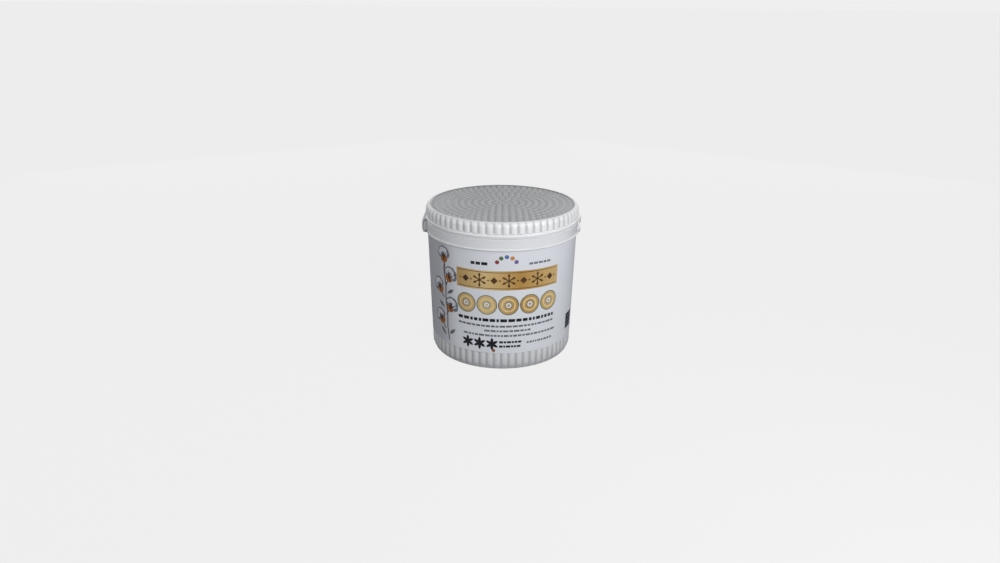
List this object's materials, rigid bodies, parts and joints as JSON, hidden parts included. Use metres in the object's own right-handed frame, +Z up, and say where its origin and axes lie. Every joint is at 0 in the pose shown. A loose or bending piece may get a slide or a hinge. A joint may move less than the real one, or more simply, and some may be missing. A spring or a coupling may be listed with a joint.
{
  "type": "cotton swab tub",
  "caption": "Round fluted plastic tub with a wrap label, a flip-top lid on a strap hinge and a bundle of cotton swabs standing inside.",
  "frame": {"origin": "centre of the foot ring, in the plane that the tub stands on", "axes": "+Z up along the tub's axis; the label's front faces -Y; the strap hinge is at -X and the thumb tabs are at +X"},
  "size_m": [0.0861, 0.0834, 0.082],
  "materials": {
    "milky_plastic": "milky white polypropylene, moulded, half gloss",
    "label_film": "printed wrap label with fields of gold, brown and black",
    "stick_paper": "white rolled paper stick",
    "cotton": "white wound cotton"
  },
  "bodies": {
    "tub_body": {"tub": "milky_plastic", "label": "label_film", "swab_sticks": "stick_paper", "swab_tips": "cotton"},
    "strap_body": {"hinge_strap": "milky_plastic"},
    "lid_body": {"lid": "milky_plastic"}
  },
  "joints": [
    {"name": "strap_hinge", "type": "hinge", "parent": "tub_body", "child": "strap_body", "pos_m": [-0.0422, 0, 0.0677], "axis": [0, -1, 0], "range_deg": [0, 90]},
    {"name": "lid_hinge", "type": "hinge", "parent": "strap_body", "child": "lid_body", "pos_m": [-0.0422, 0, 0.0745], "axis": [0, -1, 0], "range_deg": [0, 90]}
  ],
  "couplings": [
    {"joint": "lid_hinge", "follows": "strap_hinge", "ratio": 1}
  ]
}
